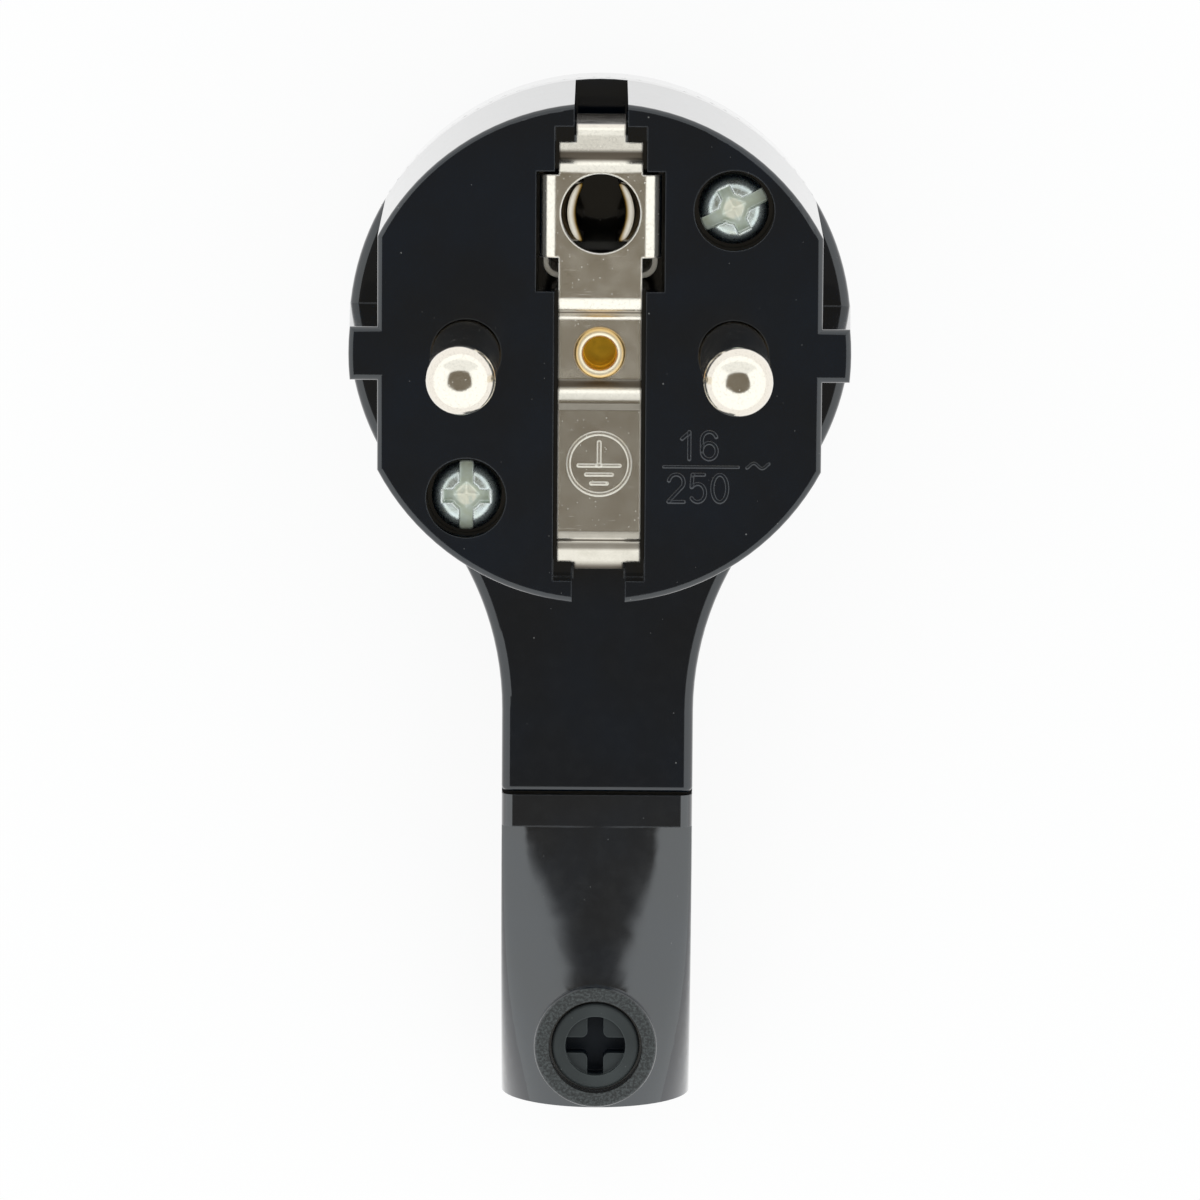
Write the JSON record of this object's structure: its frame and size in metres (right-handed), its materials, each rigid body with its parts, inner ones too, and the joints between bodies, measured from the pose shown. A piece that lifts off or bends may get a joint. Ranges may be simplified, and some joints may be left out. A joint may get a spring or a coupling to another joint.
{
  "type": "flat mains plug",
  "caption": "Flat black rewirable mains plug with round pins, an earth hole, a sprung earth strip and a clamp screw on its tubular tail.",
  "frame": {"origin": "on the plug's axis, midway between the pins, at the flat back that it lies on", "axes": "+Z along the pins, away from the back; +Y towards the earth hole, so the tail and cord entry point along -Y; +X to the right with the face seen from the front and the tail down"},
  "size_m": [0.037, 0.0769, 0.0508],
  "materials": {
    "black_plastic": "smooth moulded, half gloss",
    "screw_plastic": "moulded, satin",
    "nickel_plate": "bright nickel on brass",
    "spring_steel": "plain rolled strip",
    "bare_brass": "turned",
    "zinc_plate": "bright zinc"
  },
  "bodies": {
    "root": {"pin_carrier": "black_plastic", "rear_housing": "black_plastic", "line_pin": "nickel_plate", "neutral_pin": "nickel_plate", "earth_strip": "nickel_plate", "earth_spring": "spring_steel", "earth_terminal": "bare_brass", "terminal_screws": "zinc_plate", "housing_screws": "zinc_plate", "cord_clamp_screw": "screw_plastic"}
  },
  "joints": []
}
